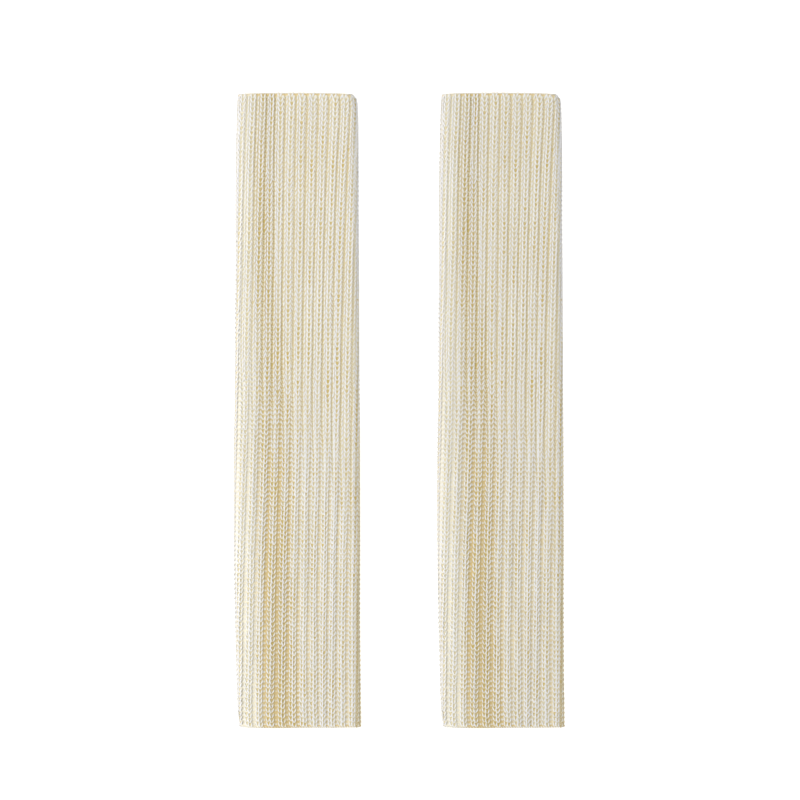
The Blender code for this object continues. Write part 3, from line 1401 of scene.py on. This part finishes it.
@dataclass(frozen=True)
class KnitFinish:
    """Matt soft yarn that turns from its face colour to a deeper tone inside the cloth, as painted shade
    between the stitches.
    """

    face: Colour
    # the colour of the painted shade deep between the stitches
    inner: Colour
    drift: Colour
    face_depth: float  # the face colour ends here, in millimetres inside the outside
    inner_depth: float  # the painted shade's colour is whole here
    flank_shade: Colour = (0.79, 0.81, 0.90)  # painted shade on the left side fold, which faces the key panel, as a colour that darkens it
    drift_size: float = 0.030
    drift_amount: float = 0.5
    roughness: float = 0.88
    sheen: float = 0.15
    specular: float = 0.2
    plies: float = 3.0
    turns: float = 5.0
    ply_height: float = 0.00012
    fuzz_size: float = 0.0004
    fuzz_height: float = 0.00006

    def material(self, name: str, groups: YarnGroups) -> bpy.types.Material:
        """Makes the material.

        Args:
            name: its name.
            groups: the shared node groups.

        Returns:
            The material.
        """
        values = {
            "Roughness": self.roughness,
            "Sheen Weight": self.sheen,
            "Specular IOR Level": self.specular,
        }
        material = plain_material(name, values)
        shop = NodeShop(material.node_tree)
        surface = material.node_tree.nodes["Principled BSDF"]
        place = shop.add("ShaderNodeTexCoord").outputs["Object"]
        inside = shop.add("ShaderNodeAttribute", attribute_name=SHADE_DEPTH_ATTRIBUTE).outputs["Fac"]
        tone = {
            "Place": place,
            "Size": self.drift_size,
            "Colour": (*self.face, 1.0),
            "Other": (*self.drift, 1.0),
            "Amount": self.drift_amount,
        }
        # painted shade: the colour deepens from the face colour to the inner one with the depth
        deep = shop.ramp(inside, self.face_depth, self.inner_depth)
        colour = shop.blend(deep, shop.group(groups.drift, tone), (*self.inner, 1.0))
        # painted shade: the yarn is darkened where the cloth faces left
        flank_shade = shop.add("ShaderNodeAttribute", attribute_name=FLANK_SHADE_ATTRIBUTE).outputs["Fac"]
        colour = shop.blend(flank_shade, colour, (*self.flank_shade, 1.0), blend_type="MULTIPLY")
        shop.feed(surface.inputs["Base Color"], colour)
        yarn_map = shop.add("ShaderNodeUVMap", uv_map=YARN_MAP).outputs["UV"]
        plies = shop.group(groups.ply, {"Map": yarn_map, "Plies": self.plies, "Turns": self.turns})
        fibres = shop.group(groups.fuzz, {"Place": place, "Size": self.fuzz_size})
        raised = shop.math("MULTIPLY", plies, self.ply_height)
        bump = shop.add("ShaderNodeBump")
        bump.inputs["Distance"].default_value = 1.0  # the heights are in metres
        shop.feed(bump.inputs["Height"], shop.math("MULTIPLY_ADD", fibres, self.fuzz_height, raised))
        shop.feed(surface.inputs["Normal"], bump.outputs["Normal"])
        return material


# cream yarn; its deeper colour is painted shade where it lies between the stitches
STITCH_FINISH = KnitFinish(
    face=(0.85, 0.848, 0.848),
    inner=(0.80, 0.705, 0.46),
    drift=(0.845, 0.838, 0.81),
    face_depth=0.3,
    inner_depth=1.75,
)
# a darker copy of the same yarn, painted shade for the purl loops in the valleys and the edge chains
VALLEY_FINISH = KnitFinish(
    face=(0.82, 0.79, 0.70),
    inner=(0.74, 0.62, 0.38),
    drift=(0.81, 0.77, 0.65),
    face_depth=1.1,
    inner_depth=2.6,
)
# deep ochre yarn, painted shade for the holes between each stitch's legs
BACK_FINISH = KnitFinish(
    face=(0.78, 0.72, 0.51),
    inner=(0.63, 0.475, 0.15),
    drift=(0.77, 0.68, 0.44),
    face_depth=0.4,
    inner_depth=2.1,
)
# the shell that shows through the stitches, in an ochre that is painted shade between them
SHELL_FINISH = KnitFinish(
    face=(0.785, 0.735, 0.575),
    inner=(0.66, 0.51, 0.24),
    drift=(0.775, 0.71, 0.535),
    face_depth=1.0,
    inner_depth=2.1,
    drift_amount=0.7,
    ply_height=0.0,
)


@dataclass
class LegWarmer:
    """One leg warmer: its shell, its stitches and its two edges."""

    side: Side
    knit: RibKnit
    groups: YarnGroups
    middle: float = 80.0  # its middle line, out from the pair's middle
    shell_wall: float = 1.2
    flat_girth: float = 200.0  # the way round the relaxed tube, which is knitted in the round

    def dress(self, piece: bpy.types.Object, finish: KnitFinish) -> bpy.types.Object:
        """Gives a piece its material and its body.

        Args:
            piece: the piece.
            finish: its finish.

        Returns:
            The same piece.
        """
        piece.data.materials.append(finish.material(piece.name, self.groups))
        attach(piece, "root")
        LOG.info("%s: %d faces", piece.name, len(piece.data.polygons))
        return piece

    def build_shell(self) -> bpy.types.Object:
        """The thin shell under the stitches.

        Returns:
            The shell, a closed wall.
        """
        corners, quads, depths, flanks = self.knit.shell()
        name = f"rib_shell_{self.side.word}"
        mesh = bpy.data.meshes.new(name)
        mesh.from_pydata(placed(corners, self.side.value * self.middle).tolist(), [], quads.tolist())
        mark(mesh, depths, flanks)
        mesh.uv_layers.new(name=YARN_MAP)
        mesh.shade_smooth()
        shell = linked(name, mesh)
        wall = shell.modifiers.new("wall", "SOLIDIFY")
        wall.thickness = self.shell_wall * MM
        wall.offset = -1.0
        bpy.ops.object.select_all(action="DESELECT")
        bpy.context.view_layer.objects.active = shell
        shell.select_set(True)
        bpy.ops.object.modifier_apply(modifier=wall.name)
        return shell

    def build(self, strewn: dict[str, tuple[Strewn, KnitFinish]]) -> None:
        """Makes every piece of this leg warmer.

        Args:
            strewn: for each piece's name, what its mesh is made from, and its finish.
        """
        middle = self.side.value * self.middle
        pieces = [
            self.dress(shape.piece(f"{name}_{self.side.word}", middle), finish)
            for name, (shape, finish) in strewn.items()
        ]
        shell = self.dress(self.build_shell(), SHELL_FINISH)
        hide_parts(f"leg_warmer_{self.side.word}")


@dataclass
class Studio:
    """The plain floor, the soft light from the left and the camera straight above."""

    floor_size: float = 8.0
    floor_colour: Colour = (0.93, 0.93, 0.93)
    floor_glow: float = 0.5
    floor_roughness: float = 0.9
    dome_strength: float = 0.81
    key_place: tuple[float, float, float] = (-1.6, 0.1, 1.0)
    key_size: float = 1.8
    key_energy: float = 34.0
    camera_height: float = 1.49
    camera_place: tuple[float, float] = (0.0008, 0.0080)
    lens: float = 85.0

    def floor(self) -> None:
        """A wide pale floor just under the pair."""
        bpy.ops.object.select_all(action="DESELECT")
        bpy.ops.mesh.primitive_plane_add(size=self.floor_size, location=(0.0, 0.0, 0.0))
        floor = bpy.context.object
        floor.name = "floor"
        bpy.ops.object.transform_apply(location=True, rotation=True, scale=True)
        values = {
            "Base Color": (*self.floor_colour, 1.0),
            "Roughness": self.floor_roughness,
            "Specular IOR Level": 0.0,
            "Emission Color": WHITE,
            "Emission Strength": self.floor_glow,
        }
        floor.data.materials.append(plain_material("pale_floor", values))

    def light(self) -> None:
        """A white dome, and a soft panel on the left."""
        world = bpy.data.worlds.new("dome")
        world.use_nodes = True
        background = world.node_tree.nodes["Background"]
        background.inputs["Color"].default_value = WHITE
        background.inputs["Strength"].default_value = self.dome_strength
        bpy.context.scene.world = world
        aim = -Vector(self.key_place)
        bpy.ops.object.light_add(
            type="AREA", location=self.key_place, rotation=aim.to_track_quat("-Z", "Y").to_euler()
        )
        key = bpy.context.object
        key.name = "key_panel"
        key.data.size = self.key_size
        key.data.energy = self.key_energy

    def camera(self) -> None:
        """A long lens that looks straight down."""
        camera = linked("camera", bpy.data.cameras.new("camera"))
        camera.data.lens = self.lens
        camera.location = (*self.camera_place, self.camera_height)
        bpy.context.scene.camera = camera

    def build(self) -> None:
        """Sets the stage."""
        self.camera()
        self.floor()
        self.light()
        bpy.context.scene.view_settings.view_transform = "Standard"


def main() -> None:
    """Builds the stage, then both leg warmers from the same knitting."""
    logging.basicConfig(level=logging.INFO, format="%(message)s")
    Studio().build()
    knit = RibKnit(FlatTube())
    strewn = {
        **{f"knit_{zone.value}": (knit.stitches(zone), STITCH_FINISH) for zone in Zone},
        "stitch_backs": (knit.stitch_backs(), BACK_FINISH),
        "purl_valleys": (knit.purl_loops(), VALLEY_FINISH),
        **{end.value: (knit.edge_chain(end), VALLEY_FINISH) for end in End},
    }
    groups = YarnGroups()
    for side in Side:
        LegWarmer(side, knit, groups).build(strewn)


if __name__ == "__main__":
    main()
